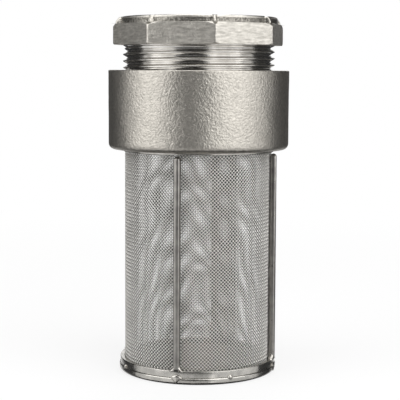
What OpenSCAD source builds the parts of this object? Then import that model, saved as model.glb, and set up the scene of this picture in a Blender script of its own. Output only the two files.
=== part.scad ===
// Foot valve with a wire-mesh suction strainer, for a 1-1/2 inch pump suction line.
// Millimetres, +Z up. The origin is on the valve's axis, in the plane that it stands on.
// Angles round the axis are counted from the front (-Y), positive towards +X.

/* [Valve body] */
// Outer diameter of the cast body
body_d = 64; // [63:0.5:68]
// Height of the cast body
body_h = 27.8; // [27:0.1:30]
// Radius of the body's rounded lower edge
body_bottom_round = 2; // [0.5:0.1:2.5]
// Radius of the body's upper edge
body_top_round = 0.5; // [0.2:0.1:1]
// Diameter of the port that the disc closes
port_d = 35; // [33:0.5:36]

/* [End cap] */
// Width of the octagon head across its flats
head_across_flats = 56.6; // [56:0.1:58]
// Height of the octagon head
head_h = 9.75; // [9:0.05:12]
// Height of the round rim on top of the head
head_rim_h = 2.5; // [1.5:0.1:3]
// Diameter of that rim
head_rim_d = 55.8; // [55:0.1:55.9]
// Turn of the octagon's corners about the axis
head_turn = 10.5; // [0:0.5:44]
// Gap between the body's top and the head's underside
neck_gap = 8.8; // [8:0.1:10]
// Crest diameter of the male thread that screws into the body
cap_thread_d = 53.74; // [53.5:0.01:54]
// Depth of that thread
cap_thread_depth = 1.47; // [1.2:0.01:1.48]
// Threads per inch, male and female
threads_per_inch = 11; // [11]
// Minor diameter of the female pipe thread, which is the wall of the hole
pipe_hole_d = 44.84; // [44.5:0.01:45]

/* [Check valve] */
// Diameter of the valve disc
disc_d = 40; // [39:0.5:42]
// Diameter of the stem
stem_d = 6; // [5.9:0.01:6.1]
// How far the disc lifts off its seat
lift = 7; // [6:0.1:7]
// Wire diameter of the conical spring
spring_wire_d = 1.1; // [0.9:0.05:1.2]
// Turns of the conical spring
spring_turns = 4.5; // [4:0.5:5]

/* [Strainer] */
// Outer diameter of the mesh sleeve
mesh_d = 52.5; // [52:0.1:52.5]
// Thickness of one layer of woven mesh
mesh_t = 0.5; // [0.4:0.05:0.5]
// Height of the strainer from its base to the body's underside
strainer_h = 79.4; // [75:0.1:85]
// Diameter of the rib wire
rib_d = 2.2; // [2:0.1:2.2]
// Outer diameter of the two rings at the foot
foot_d = 56.3; // [56:0.1:57]
// Height of each of the two rings
foot_ring_h = 2.35; // [2.2:0.05:2.6]
// Chamfer round the bottom of the lower ring
foot_chamfer = 0.7; // [0.3:0.1:1]

/* [Hidden] */
$fn = 96;

// Finishes
cast_steel = [0.56, 0.54, 0.51];
machined_steel = [0.70, 0.69, 0.67];
sheet_steel = [0.72, 0.71, 0.69];
wire_steel = [0.62, 0.61, 0.58];
spring_steel = [0.66, 0.66, 0.66];
ptfe = [0.93, 0.93, 0.90];
nitrile = [0.09, 0.09, 0.10];

// Gap left between faces that meet
touch = 0.02;

// Heights, from the base up
body_z = strainer_h;
body_top = body_z + body_h;
head_z = body_top + neck_gap;
top_z = head_z + head_h;
recess_top = body_z + 3.1;
web_top = recess_top + 3;
seat_z = web_top + 0.8;
ledge_z = web_top + 6;
gasket_t = 1.5;
cap_z = ledge_z + gasket_t + touch;

// Radii of the body
body_r = body_d / 2;
port_r = port_d / 2;
seat_r = port_r + 1.7;
cavity_r = 24;
recess_r = 27;

// Thread between the cap and the body, as rings of the true depth and pitch
pitch = 25.4 / threads_per_inch;
thread_flat = 0.35;
thread_flank = pitch / 2 - thread_flat;
thread_r = cap_thread_d / 2;
thread_root_r = thread_r - cap_thread_depth;
thread_gap = 0.08;
cap_turns = 9;
body_turns = 5;
thread_top = head_z - 0.5;
thread_z = thread_top - cap_turns * pitch;
relief_r = recess_r + 0.1;

// Spurs that carry the head's corners up the rim
spur_w = 1.4;
spur_out = 1.6;

// Inside of the cap
pipe_hole_r = pipe_hole_d / 2;
hole_chamfer = 1.7;
guide_seat_r = 23.5;
shoulder_z = cap_z + 13;
shoulder_r = 22;
pipe_hole_z = shoulder_z + 2;
groove_r = 24.2;
groove_z = shoulder_z - 5.5;
groove_h = 1.2;

// Stem guide
guide_rim_r = guide_seat_r - 0.05;
guide_z = shoulder_z - 4;
guide_top = shoulder_z - touch;
hub_r = 6;
hub_top = shoulder_z + 1;
hub_flange_r = 10;
bush_r = 4.5;
bush_bore_r = stem_d / 2 + 0.06;
bush_flange_r = 5.6;
arm_w = 4;

// The moving disc, from its seat up
seal_t = 1.98;
seal_z = seat_z + touch;
disc_z = seal_z + seal_t + touch;
disc_t = 2.48;
disc_top = disc_z + disc_t;
stem_r = stem_d / 2;
stem_collar_r = 5.5;
stem_collar_z = disc_top + touch;
stem_collar_top = stem_collar_z + 1.48;
bush_z = stem_collar_top + lift + 0.05;
hub_z = bush_z + 0.55;
retainer_t = 1.5;
retainer_r = 11.5;
retainer_z = seal_z - touch - retainer_t;
washer_t = 0.98;
washer_z = retainer_z - touch - washer_t;
nut_af = 10;
nut_h = 5;
nut_z = washer_z - touch - nut_h;
stem_z = nut_z - 1;
stem_top = shoulder_z + 1.5;

// Spring, wide on the disc and narrow round the hub
spring_r_low = 14;
spring_r_high = 8;
spring_z = disc_top + spring_wire_d / 2 + touch;
spring_top = guide_z - spring_wire_d / 2 - touch;
spring_dead_turn = 0.8;
spring_sides = 8;
spring_steps = 120;

// Strainer
mesh_r = mesh_d / 2;
collar_z = body_z - 0.8;
collar_t = 0.65;
lap_from = 146;
lap_to = 168;
foot_r = foot_d / 2;
foot_inner_r = mesh_r + 0.05;
base_inner_r = 24;
rim_z = foot_ring_h + 0.05;
rim_top = rim_z + foot_ring_h;
bottom_mesh_t = 0.4;
bottom_mesh_z = foot_ring_h + touch;
sleeve_z = bottom_mesh_z + bottom_mesh_t + touch;
sleeve_top = recess_top - 0.5;
rib_r = rib_d / 2;
rib_at = mesh_r + 0.05 + rib_r;
rib_z = rim_top + touch;
rib_top = body_z - 1.2;
rib_angles = [-15, 75, 167, 247];
weld_base_r = 1.75;
weld_h = 1.8;
bead_w = 4;
bead_low = 2.1;
bead_high = 1.3;
bead_out = 0.55;
spot_angles = [24, 114, 204, 294];
spot_r = 0.9;
spot_out = 0.45;

// Points of an arc in the section plane
function arc(r, z, radius, from, to, steps) = [
  for (i = [0:steps])
    let (a = from + (to - from) * i / steps)
    [r + radius * cos(a), z + radius * sin(a)]
];

// Section points of thread rings, going up from z
function thread_points(crest, root, z, turns) = [
  for (k = [0:turns - 1])
    let (low = z + k * pitch)
    each [
      [crest, low],
      [crest, low + thread_flat],
      [root, low + thread_flat + thread_flank],
      [root, low + 2 * thread_flat + thread_flank]
    ]
];

// The same points, going down
function reversed(points) = [for (i = [len(points) - 1:-1:0]) points[i]];

// A flat ring with square edges
module ring(inner_r, outer_r, z, height) {
  rotate_extrude()
    translate([inner_r, z])
      square([outer_r - inner_r, height]);
}

// Places its children on the axis's circle of radius r, at an angle from the front
module at_angle(angle, r) {
  rotate([0, 0, angle])
    translate([0, -r, 0])
      children();
}

// Cast body: strainer recess below, seat in the middle, thread for the cap above
module valve_body() {
  outline = concat(
    [[recess_r, body_z]],
    arc(body_r - body_bottom_round, body_z + body_bottom_round, body_bottom_round, -90, 0, 8),
    arc(body_r - body_top_round, body_top - body_top_round, body_top_round, 0, 90, 4),
    [[thread_r + 0.8, body_top], [thread_r + thread_gap, body_top - 0.75]],
    [[thread_r + thread_gap, thread_z + body_turns * pitch]],
    reversed(thread_points(thread_r + thread_gap, thread_root_r + thread_gap, thread_z, body_turns)),
    [[relief_r, thread_z - 0.5], [relief_r, ledge_z], [cavity_r, ledge_z], [cavity_r, web_top]],
    [[seat_r, web_top], [seat_r - 0.2, seat_z], [port_r + 0.3, seat_z], [port_r, seat_z - 0.3]],
    [[port_r, recess_top], [recess_r, recess_top]]
  );
  color(cast_steel)
    rotate_extrude()
      polygon(outline);
}

// Solid of the cap before it is bored: threaded neck and chamfered octagon head
module cap_blank() {
  head_r = head_across_flats / 2 / cos(22.5);
  head_rim_r = head_rim_d / 2;
  head_rim_z = top_z - head_rim_h;
  neck = concat(
    [[0, cap_z], [thread_root_r - 0.6, cap_z], [thread_root_r, cap_z + 0.6], [thread_root_r, thread_z - 0.5]],
    thread_points(thread_r, thread_root_r, thread_z, cap_turns),
    [[thread_r - 0.15, thread_top], [thread_r - 0.15, head_z + 1], [0, head_z + 1]]
  );
  chamfer = [
    [0, head_z], [head_r - 0.5, head_z], [head_r + 1, head_z + 1.2], [head_r + 1, head_rim_z - 2],
    [head_r - 1, head_rim_z], [head_rim_r, head_rim_z],
    [head_rim_r - 0.3, top_z - 0.3], [head_rim_r - 0.6, top_z], [0, top_z]
  ];
  rotate_extrude()
    polygon(neck);
  intersection() {
    translate([0, 0, head_z])
      rotate([0, 0, head_turn])
        cylinder(r = head_r, h = head_h, $fn = 8);
    rotate_extrude()
      polygon(chamfer);
  }
  for (k = [0:7])
    rotate([0, 0, head_turn + 45 * k])
      translate([head_rim_r - 1, -spur_w / 2, head_rim_z - 1])
        cube([1 + spur_out, spur_w, head_rim_h + 0.6]);
}

// End cap: octagon head with the female pipe thread, screwed into the body
module end_cap() {
  bore = [
    [0, cap_z - 1], [guide_seat_r, cap_z - 1],
    [guide_seat_r, groove_z], [groove_r, groove_z],
    [groove_r, groove_z + groove_h], [guide_seat_r, groove_z + groove_h],
    [guide_seat_r, shoulder_z], [shoulder_r, shoulder_z],
    [shoulder_r, pipe_hole_z], [pipe_hole_r, pipe_hole_z],
    [pipe_hole_r, top_z - hole_chamfer], [pipe_hole_r + hole_chamfer, top_z],
    [pipe_hole_r + hole_chamfer, top_z + 1], [0, top_z + 1]
  ];
  color(machined_steel)
    difference() {
      cap_blank();
      rotate_extrude()
        polygon(bore);
    }
}

// Flat gasket that the cap's end presses on the body's ledge
module cap_gasket() {
  color(ptfe)
    ring(cavity_r + 0.1, recess_r - 0.1, ledge_z, gasket_t);
}

// Three-armed guide that holds the stem on the axis
module stem_guide() {
  color(cast_steel)
    difference() {
      union() {
        ring(guide_rim_r - 2, guide_rim_r, guide_z, guide_top - guide_z);
        ring(bush_r, hub_r, hub_z, hub_top - hub_z);
        ring(bush_r, hub_flange_r, guide_z, 2);
        for (angle = [90:120:330])
          rotate([0, 0, angle])
            translate([-arm_w / 2, hub_r - 1, guide_z])
              cube([arm_w, guide_rim_r - hub_r, guide_top - guide_z]);
      }
      translate([0, 0, hub_z - 1])
        cylinder(r = bush_r + touch, h = hub_top - hub_z + 2);
    }
}

// Flanged plain bush that the stem slides in; its flange is the stop at full lift
module guide_bush() {
  color(ptfe)
    rotate_extrude()
      polygon([
        [bush_bore_r, bush_z], [bush_flange_r, bush_z], [bush_flange_r, hub_z - touch],
        [bush_r, hub_z - touch], [bush_r, hub_top], [bush_bore_r, hub_top]
      ]);
}

// Internal snap ring under the guide's rim
module guide_snap_ring() {
  ring_gap = 9;
  color(spring_steel)
    difference() {
      ring(guide_seat_r - 1, groove_r - 0.05, groove_z + 0.1, groove_h - 0.2);
      translate([-ring_gap / 2, 0, groove_z - 1])
        cube([ring_gap, groove_r + 1, groove_h + 2]);
    }
}

// Stem with the collar that the nut clamps the disc against
module valve_stem() {
  color(machined_steel)
    rotate_extrude()
      polygon([
        [0, stem_z], [stem_r - 0.6, stem_z], [stem_r, stem_z + 0.6],
        [stem_r, stem_collar_z], [stem_collar_r, stem_collar_z],
        [stem_collar_r, stem_collar_top - 0.3], [stem_collar_r - 0.3, stem_collar_top],
        [stem_r, stem_collar_top], [stem_r, stem_top - 0.8], [stem_r - 0.8, stem_top], [0, stem_top]
      ]);
}

// Valve disc
module valve_disc() {
  disc_r = disc_d / 2;
  color(machined_steel)
    rotate_extrude()
      polygon([
        [stem_r + touch, disc_z], [disc_r - 0.3, disc_z], [disc_r, disc_z + 0.3],
        [disc_r, disc_top - 0.5], [disc_r - 0.5, disc_top], [stem_r + touch, disc_top]
      ]);
}

// Soft seal under the disc, which closes on the seat
module seat_seal() {
  color(nitrile)
    ring(stem_r + 0.05, disc_d / 2 - 0.2, seal_z, seal_t);
}

// Plate that holds the seal up against the disc
module seal_retainer() {
  color(machined_steel)
    rotate_extrude()
      polygon([
        [stem_r + 0.05, retainer_z], [retainer_r - 0.5, retainer_z], [retainer_r, retainer_z + 0.5],
        [retainer_r, retainer_z + retainer_t], [stem_r + 0.05, retainer_z + retainer_t]
      ]);
}

// Split lock washer on the nut
module lock_washer() {
  split = 0.8;
  color(spring_steel)
    difference() {
      ring(stem_r + 0.1, nut_af / 2 - 0.1, washer_z, washer_t);
      translate([0, -split / 2, washer_z - 1])
        cube([nut_af, split, washer_t + 2]);
    }
}

// Hexagon nut on the stem's lower end
module stem_nut() {
  nut_r = nut_af / 2 / cos(30);
  nut_face_r = nut_af / 2 - 0.15;
  color(machined_steel)
    difference() {
      intersection() {
        translate([0, 0, nut_z])
          cylinder(r = nut_r, h = nut_h, $fn = 6);
        rotate_extrude()
          polygon([
            [0, nut_z], [nut_face_r, nut_z], [nut_r + 0.5, nut_z + 0.8],
            [nut_r + 0.5, nut_z + nut_h - 0.8], [nut_face_r, nut_z + nut_h], [0, nut_z + nut_h]
          ]);
      }
      translate([0, 0, nut_z - 1])
        cylinder(r = stem_r + touch, h = nut_h + 2);
    }
}

// Height of the spring wire's centre after a number of turns, flat over the end turns
function spring_rise(turn) =
  let (live = spring_turns - 2 * spring_dead_turn)
  let (part = min(1, max(0, (turn - spring_dead_turn) / live)))
  spring_z + (spring_top - spring_z) * part;

// Conical spring: each turn is smaller than the one below, so it can close flat
module valve_spring() {
  wire_r = spring_wire_d / 2;
  points = [
    for (i = [0:spring_steps])
      let (turn = spring_turns * i / spring_steps)
      let (r = spring_r_low + (spring_r_high - spring_r_low) * i / spring_steps)
      for (j = [0:spring_sides - 1])
        let (out = r + wire_r * cos(360 * j / spring_sides))
        [out * cos(360 * turn), out * sin(360 * turn), spring_rise(turn) + wire_r * sin(360 * j / spring_sides)]
  ];
  sides = [
    for (i = [0:spring_steps - 1], j = [0:spring_sides - 1])
      let (low = i * spring_sides, high = low + spring_sides, next = (j + 1) % spring_sides)
      [low + j, low + next, high + next, high + j]
  ];
  ends = [
    [for (j = [spring_sides - 1:-1:0]) j],
    [for (j = [0:spring_sides - 1]) spring_steps * spring_sides + j]
  ];
  color(spring_steel)
    polyhedron(points = points, faces = concat(sides, ends));
}

// Sheet collar that holds the strainer in the body's recess
module strainer_collar() {
  color(sheet_steel)
    ring(foot_inner_r, foot_inner_r + collar_t, collar_z, recess_top - collar_z - touch);
}

// Woven mesh rolled into a sleeve, as a closed wall
module mesh_sleeve() {
  color(wire_steel)
    ring(mesh_r - mesh_t, mesh_r, sleeve_z, sleeve_top - sleeve_z);
}

// Strip where the rolled mesh laps over itself at the back, inside the sleeve
module mesh_lap() {
  lap_r = mesh_r - mesh_t - 0.01;
  far = 2 * lap_r;
  color(wire_steel)
    intersection() {
      ring(lap_r - mesh_t, lap_r, sleeve_z, sleeve_top - sleeve_z);
      linear_extrude(height = body_top)
        polygon([
          [0, 0],
          [far * sin(lap_from), -far * cos(lap_from)],
          [far * sin(lap_to), -far * cos(lap_to)]
        ]);
    }
}

// One rib of round wire along the outside of the mesh, with a rounded top end
module rib(number) {
  color(sheet_steel)
    at_angle(rib_angles[number - 1], rib_at) {
      translate([0, 0, rib_z])
        cylinder(r = rib_r, h = rib_top - rib_r - rib_z);
      translate([0, 0, rib_top - rib_r])
        sphere(r = rib_r);
    }
}

// Upper ring of the foot, round the mesh
module rim_ring() {
  color(sheet_steel)
    ring(foot_inner_r, foot_r, rim_z, foot_ring_h);
}

// Lower ring of the foot, which the valve stands on
module base_ring() {
  color(sheet_steel)
    rotate_extrude()
      polygon([
        [base_inner_r, 0], [foot_r - foot_chamfer, 0], [foot_r, foot_chamfer],
        [foot_r, foot_ring_h], [base_inner_r, foot_ring_h]
      ]);
}

// Mesh disc that closes the strainer's end, held between the rings
module bottom_mesh() {
  color(wire_steel)
    translate([0, 0, bottom_mesh_z])
      cylinder(r = mesh_r - 0.05, h = bottom_mesh_t);
}

// Flare of weld metal round a rib's foot, cut off flat beside the mesh
module rib_flare() {
  difference() {
    translate([0, 0, rib_z])
      cylinder(r1 = weld_base_r, r2 = rib_r + 0.1, h = weld_h);
    translate([0, 0, rib_z - 1])
      cylinder(r = rib_r + 0.01, h = weld_h + 2);
    translate([-weld_base_r, rib_r + 0.03, rib_z - 1])
      cube([2 * weld_base_r, weld_base_r, weld_h + 2]);
  }
}

// Kite of weld metal over the joint between the two rings
module ring_bead() {
  translate([0, 0, rim_z])
    rotate([90, 0, 0])
      linear_extrude(height = bead_out)
        polygon([[-bead_w / 2, 0], [0, -bead_low], [bead_w / 2, 0], [0, bead_high]]);
}

// Weld metal at the feet of the four ribs
module rib_welds() {
  color(sheet_steel)
    for (angle = rib_angles) {
      at_angle(angle, rib_at)
        rib_flare();
      at_angle(angle, foot_r + touch)
        ring_bead();
    }
}

// Spot welds on the joint between the two rings
module spot_welds() {
  color(sheet_steel)
    for (angle = spot_angles)
      at_angle(angle, foot_r + touch)
        translate([0, 0, rim_z])
          rotate([90, 0, 0])
            cylinder(r1 = spot_r, r2 = 0.6 * spot_r, h = spot_out);
}

valve_body();
end_cap();
cap_gasket();
stem_guide();
guide_bush();
guide_snap_ring();
valve_stem();
valve_disc();
seat_seal();
seal_retainer();
lock_washer();
stem_nut();
valve_spring();
strainer_collar();
mesh_sleeve();
mesh_lap();
rib(1);  // rib_1
rib(2);  // rib_2
rib(3);  // rib_3
rib(4);  // rib_4
rim_ring();
base_ring();
bottom_mesh();
rib_welds();
spot_welds();
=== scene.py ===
"""Looks of the foot valve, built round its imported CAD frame.

Metres, +Z up. Angles round the axis are counted from the front (-Y), positive towards +X.
"""
import math

import bpy
import numpy as np
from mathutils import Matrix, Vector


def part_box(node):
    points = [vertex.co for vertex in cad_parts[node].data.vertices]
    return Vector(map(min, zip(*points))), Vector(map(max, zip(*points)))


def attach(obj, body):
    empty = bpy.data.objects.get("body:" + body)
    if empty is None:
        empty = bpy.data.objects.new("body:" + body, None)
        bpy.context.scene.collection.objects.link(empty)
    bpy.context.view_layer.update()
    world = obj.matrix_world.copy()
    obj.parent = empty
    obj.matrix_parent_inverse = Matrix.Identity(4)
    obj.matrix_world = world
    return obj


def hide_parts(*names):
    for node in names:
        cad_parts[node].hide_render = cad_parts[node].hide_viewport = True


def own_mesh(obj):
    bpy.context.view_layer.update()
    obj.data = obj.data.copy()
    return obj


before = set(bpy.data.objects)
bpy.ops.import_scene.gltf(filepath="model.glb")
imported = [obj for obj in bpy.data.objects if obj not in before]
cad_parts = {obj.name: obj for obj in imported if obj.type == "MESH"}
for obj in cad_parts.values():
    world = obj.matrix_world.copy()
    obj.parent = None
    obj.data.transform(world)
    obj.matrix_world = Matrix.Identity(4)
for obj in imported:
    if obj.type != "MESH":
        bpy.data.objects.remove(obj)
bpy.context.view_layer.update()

MM = 0.001
TAU = 2 * math.pi

# ---------------------------------------------------------------- places from the frame

BODY_LOW, BODY_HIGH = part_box("valve_body")
CAP_LOW, CAP_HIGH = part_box("end_cap")
SLEEVE_LOW, SLEEVE_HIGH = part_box("mesh_sleeve")
COLLAR_LOW, COLLAR_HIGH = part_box("strainer_collar")
RIM_LOW, RIM_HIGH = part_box("rim_ring")
BASE_LOW, BASE_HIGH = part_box("base_ring")
BOTTOM_LOW, BOTTOM_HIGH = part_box("bottom_mesh")
_, GUIDE_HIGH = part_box("stem_guide")
BUSH_LOW, BUSH_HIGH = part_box("guide_bush")
SNAP_LOW, SNAP_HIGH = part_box("guide_snap_ring")
STEM_LOW, STEM_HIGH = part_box("valve_stem")
DISC_LOW, DISC_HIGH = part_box("valve_disc")
SEAL_LOW, SEAL_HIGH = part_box("seat_seal")
RETAINER_LOW, RETAINER_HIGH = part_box("seal_retainer")
WASHER_LOW, WASHER_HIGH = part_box("lock_washer")
NUT_LOW, NUT_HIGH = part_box("stem_nut")
SPRING_LOW, SPRING_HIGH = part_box("valve_spring")
GASKET_LOW, GASKET_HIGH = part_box("cap_gasket")
RIB_BOXES = [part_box(f"rib_{number}") for number in (1, 2, 3, 4)]

BODY_R = BODY_HIGH.x
HEAD_FLAT_R = 28.3 * MM
HEAD_TURN = math.radians(10.5)
HEAD_RIM_R = 27.9 * MM
HEAD_RIM_Z = CAP_HIGH.z - 2.5 * MM
NECK_GAP = 8.8 * MM
HEAD_Z = BODY_HIGH.z + NECK_GAP
PITCH = 25.4 * MM / 11
THREAD_R = 26.87 * MM
THREAD_ROOT_R = 25.40 * MM
THREAD_GAP = 0.08 * MM
THREAD_CREST = 0.14
THREAD_TOP = HEAD_Z - 0.5 * MM
THREAD_LOW = THREAD_TOP - 9 * PITCH
PIPE_MINOR_R = 22.42 * MM
PIPE_MAJOR_R = 23.90 * MM
GUIDE_SEAT_R = 23.5 * MM
SHOULDER_Z = GUIDE_HIGH.z - 1 * MM + 0.02 * MM
WIRE_D = 0.37 * MM
WEAVE_R = SLEEVE_HIGH.x - WIRE_D
WIRES_AROUND = 130
CLOTH_PITCH = TAU * WEAVE_R / WIRES_AROUND / math.sqrt(2)
LAP_FROM = math.radians(146)
LAP_TO = math.radians(168)
WEAVE_SWING = 0.46 * WIRE_D
LAP_DEPTH = 2.1 * WIRE_D
RIB_POWER = 3.2
STEM_R = 3 * MM
UP = np.array([0.0, 0.0, 1.0])
SAME = 0.01 * MM

# ---------------------------------------------------------------- camera and stage

def make_camera():
    """Level with the body's top, pitched a little down."""
    camera = bpy.data.objects.new("camera", bpy.data.cameras.new("camera"))
    camera.data.sensor_width = 36
    camera.data.lens = 111.15
    camera.data.clip_start = 0.01
    camera.location = (0.42 * MM, -441 * MM, BODY_HIGH.z)
    camera.rotation_euler = (math.radians(84), math.radians(-0.3), 0)
    bpy.context.scene.collection.objects.link(camera)
    bpy.context.scene.camera = camera


def softbox(name, azimuth, elevation, distance, wide, tall, radiance):
    """A rectangular light that faces the valve and looks wide by tall degrees from it."""
    light = bpy.data.lights.new(name, "AREA")
    light.shape = "RECTANGLE"
    light.size = 2 * distance * math.tan(math.radians(wide / 2))
    light.size_y = 2 * distance * math.tan(math.radians(tall / 2))
    light.energy = radiance * light.size * light.size_y
    lamp = bpy.data.objects.new(name, light)
    turn, rise = math.radians(azimuth), math.radians(elevation)
    middle = CAP_HIGH.z / 2
    lamp.location = (
        distance * math.cos(rise) * math.sin(turn),
        -distance * math.cos(rise) * math.cos(turn),
        middle + distance * math.sin(rise),
    )
    lamp.rotation_euler = (math.radians(90) - rise, 0, turn)
    lamp.visible_camera = False
    bpy.context.scene.collection.objects.link(lamp)


def make_lights():
    """Two wide softboxes in front with a dimmer one outside each, the bench's light from below
    in front and behind, and boxes above and behind.
    """
    softbox("left_softbox", -60, 25, 0.8, 44, 60, 6.5)
    softbox("left_outer_softbox", -90, 25, 0.8, 16, 60, 3.0)
    softbox("right_softbox", 43, 25, 0.8, 58, 60, 6.5)
    softbox("right_outer_softbox", 83, 25, 0.8, 20, 60, 3.2)
    softbox("left_bench_light", -67, -25, 0.8, 66, 40, 2.3)
    softbox("right_bench_light", 60, -25, 0.8, 74, 40, 2.3)
    softbox("front_bench_light", -6, -26, 0.8, 56, 24, 1.8)
    softbox("top_light", 10, 82, 0.9, 45, 45, 8.0)
    softbox("back_light", 180, 20, 1.0, 40, 30, 3.2)
    softbox("back_bench_light", 180, -30, 0.8, 70, 28, 2.0)
    softbox("high_back_light", 180, 58, 1.0, 50, 30, 5.0)


def make_world():
    """White seen directly, and a dim studio for everything that reflects it."""
    world = bpy.data.worlds.new("studio")
    bpy.context.scene.world = world
    world.use_nodes = True
    tree = world.node_tree
    tree.nodes.clear()
    path = tree.nodes.new("ShaderNodeLightPath")
    white = tree.nodes.new("ShaderNodeBackground")
    white.inputs["Color"].default_value = (1, 1, 1, 1)
    white.inputs["Strength"].default_value = 1.0
    dim = tree.nodes.new("ShaderNodeBackground")
    dim.inputs["Color"].default_value = (0.97, 0.98, 1.0, 1)
    dim.inputs["Strength"].default_value = 0.05
    mix = tree.nodes.new("ShaderNodeMixShader")
    out = tree.nodes.new("ShaderNodeOutputWorld")
    tree.links.new(path.outputs["Is Camera Ray"], mix.inputs["Fac"])
    tree.links.new(dim.outputs[0], mix.inputs[1])
    tree.links.new(white.outputs[0], mix.inputs[2])
    tree.links.new(mix.outputs[0], out.inputs["Surface"])
    bpy.context.scene.view_settings.view_transform = "Standard"


def make_floor():
    """A pale floor that fades into the white behind it."""
    radius = 4.0
    steps = 96
    points = [(0, 0, 0)]
    for i in range(steps):
        points.append((radius * math.cos(TAU * i / steps), radius * math.sin(TAU * i / steps), 0))
    faces = [(0, 1 + i, 1 + (i + 1) % steps) for i in range(steps)]
    mesh = bpy.data.meshes.new("floor")
    mesh.from_pydata(points, [], faces)
    floor = bpy.data.objects.new("floor", mesh)
    floor.location.z = -0.05 * MM
    floor.visible_glossy = False
    floor.visible_shadow = False
    bpy.context.scene.collection.objects.link(floor)
    material = bpy.data.materials.new("floor_paper")
    material.use_nodes = True
    tree = material.node_tree
    tree.nodes.clear()
    place = tree.nodes.new("ShaderNodeTexCoord")
    length = tree.nodes.new("ShaderNodeVectorMath")
    length.operation = "LENGTH"
    fade = tree.nodes.new("ShaderNodeMapRange")
    fade.interpolation_type = "SMOOTHSTEP"
    fade.inputs["From Min"].default_value = 0.03
    fade.inputs["From Max"].default_value = 0.50
    fade.inputs["To Min"].default_value = 0.75
    paper = tree.nodes.new("ShaderNodeBsdfDiffuse")
    paper.inputs["Color"].default_value = (0.86, 0.86, 0.86, 1)
    glow = tree.nodes.new("ShaderNodeEmission")
    mix = tree.nodes.new("ShaderNodeMixShader")
    out = tree.nodes.new("ShaderNodeOutputMaterial")
    tree.links.new(place.outputs["Object"], length.inputs[0])
    tree.links.new(length.outputs["Value"], fade.inputs["Value"])
    tree.links.new(fade.outputs["Result"], mix.inputs["Fac"])
    tree.links.new(paper.outputs[0], mix.inputs[1])
    tree.links.new(glow.outputs[0], mix.inputs[2])
    tree.links.new(mix.outputs[0], out.inputs["Surface"])
    mesh.materials.append(material)

# ---------------------------------------------------------------- materials

def noise(tree, coordinates, scale, stretch=(1, 1, 1), detail=3.0):
    """Noise from 0 to 1, with its features 1/scale metres across."""
    mapping = tree.nodes.new("ShaderNodeMapping")
    mapping.inputs["Scale"].default_value = stretch
    texture = tree.nodes.new("ShaderNodeTexNoise")
    texture.inputs["Scale"].default_value = scale
    texture.inputs["Detail"].default_value = detail
    tree.links.new(coordinates, mapping.inputs["Vector"])
    tree.links.new(mapping.outputs["Vector"], texture.inputs["Vector"])
    return texture.outputs["Fac"]


def ranged(tree, value, low, high, start=0.3, stop=0.7):
    """value, taken from start..stop to low..high."""
    node = tree.nodes.new("ShaderNodeMapRange")
    node.inputs["From Min"].default_value = start
    node.inputs["From Max"].default_value = stop
    node.inputs["To Min"].default_value = low
    node.inputs["To Max"].default_value = high
    tree.links.new(value, node.inputs["Value"])
    return node.outputs["Result"]


def finish(name, dark, light, rough, bumps, tone_scale, tone_stretch=(1, 1, 1), metallic=1.0,
           painted_inner_shade=None):
    """A surface whose tone and roughness wander, with layers of relief.

    Each of bumps is (scale, stretch, depth in metres, detail). The last argument paints shade that darkens
    the colour towards the axis: (radius of the darkest painted shade, radius where it ends, how much of
    the tone it leaves), measured from the valve's axis.
    """
    material = bpy.data.materials.new(name)
    material.use_nodes = True
    tree = material.node_tree
    shader = tree.nodes["Principled BSDF"]
    shader.inputs["Metallic"].default_value = metallic
    place = tree.nodes.new("ShaderNodeTexCoord").outputs["Object"]
    tone = noise(tree, place, tone_scale, tone_stretch, 5.0)
    ramp = tree.nodes.new("ShaderNodeValToRGB")
    ramp.color_ramp.elements[0].position = 0.32
    ramp.color_ramp.elements[0].color = (*dark, 1)
    ramp.color_ramp.elements[1].position = 0.68
    ramp.color_ramp.elements[1].color = (*light, 1)
    tree.links.new(tone, ramp.inputs["Fac"])
    colour = ramp.outputs["Color"]
    # Painted shade: the colour is darkened towards the axis, standing in for the shade inside the sleeve.
    if painted_inner_shade:
        colour = darkened_inwards(tree, place, colour, *painted_inner_shade)
    tree.links.new(colour, shader.inputs["Base Color"])
    worn = noise(tree, place, tone_scale * 2.3, tone_stretch, 4.0)
    tree.links.new(ranged(tree, worn, *rough), shader.inputs["Roughness"])
    normal = None
    for scale, stretch, depth, detail in bumps:
        bump = tree.nodes.new("ShaderNodeBump")
        bump.inputs["Distance"].default_value = depth
        tree.links.new(noise(tree, place, scale, stretch, detail), bump.inputs["Height"])
        if normal is not None:
            tree.links.new(normal, bump.inputs["Normal"])
        normal = bump.outputs["Normal"]
    if normal is not None:
        tree.links.new(normal, shader.inputs["Normal"])
    return material


def darkened_inwards(tree, place, colour, inner, outer, left):
    """The colour, darkened towards the inner radius, as painted shade."""
    flat = tree.nodes.new("ShaderNodeVectorMath")
    flat.operation = "MULTIPLY"
    flat.inputs[1].default_value = (1, 1, 0)
    length = tree.nodes.new("ShaderNodeVectorMath")
    length.operation = "LENGTH"
    tree.links.new(place, flat.inputs[0])
    tree.links.new(flat.outputs["Vector"], length.inputs[0])
    share = ranged(tree, length.outputs["Value"], left, 1.0, inner, outer)
    scaled = tree.nodes.new("ShaderNodeVectorMath")
    scaled.operation = "SCALE"
    tree.links.new(colour, scaled.inputs[0])
    tree.links.new(share, scaled.inputs["Scale"])
    return scaled.outputs["Vector"]


ROUND_LINES = (0.02, 0.02, 1.0)
UP_LINES = (1.0, 1.0, 0.01)
EVEN = (1, 1, 1)


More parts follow.
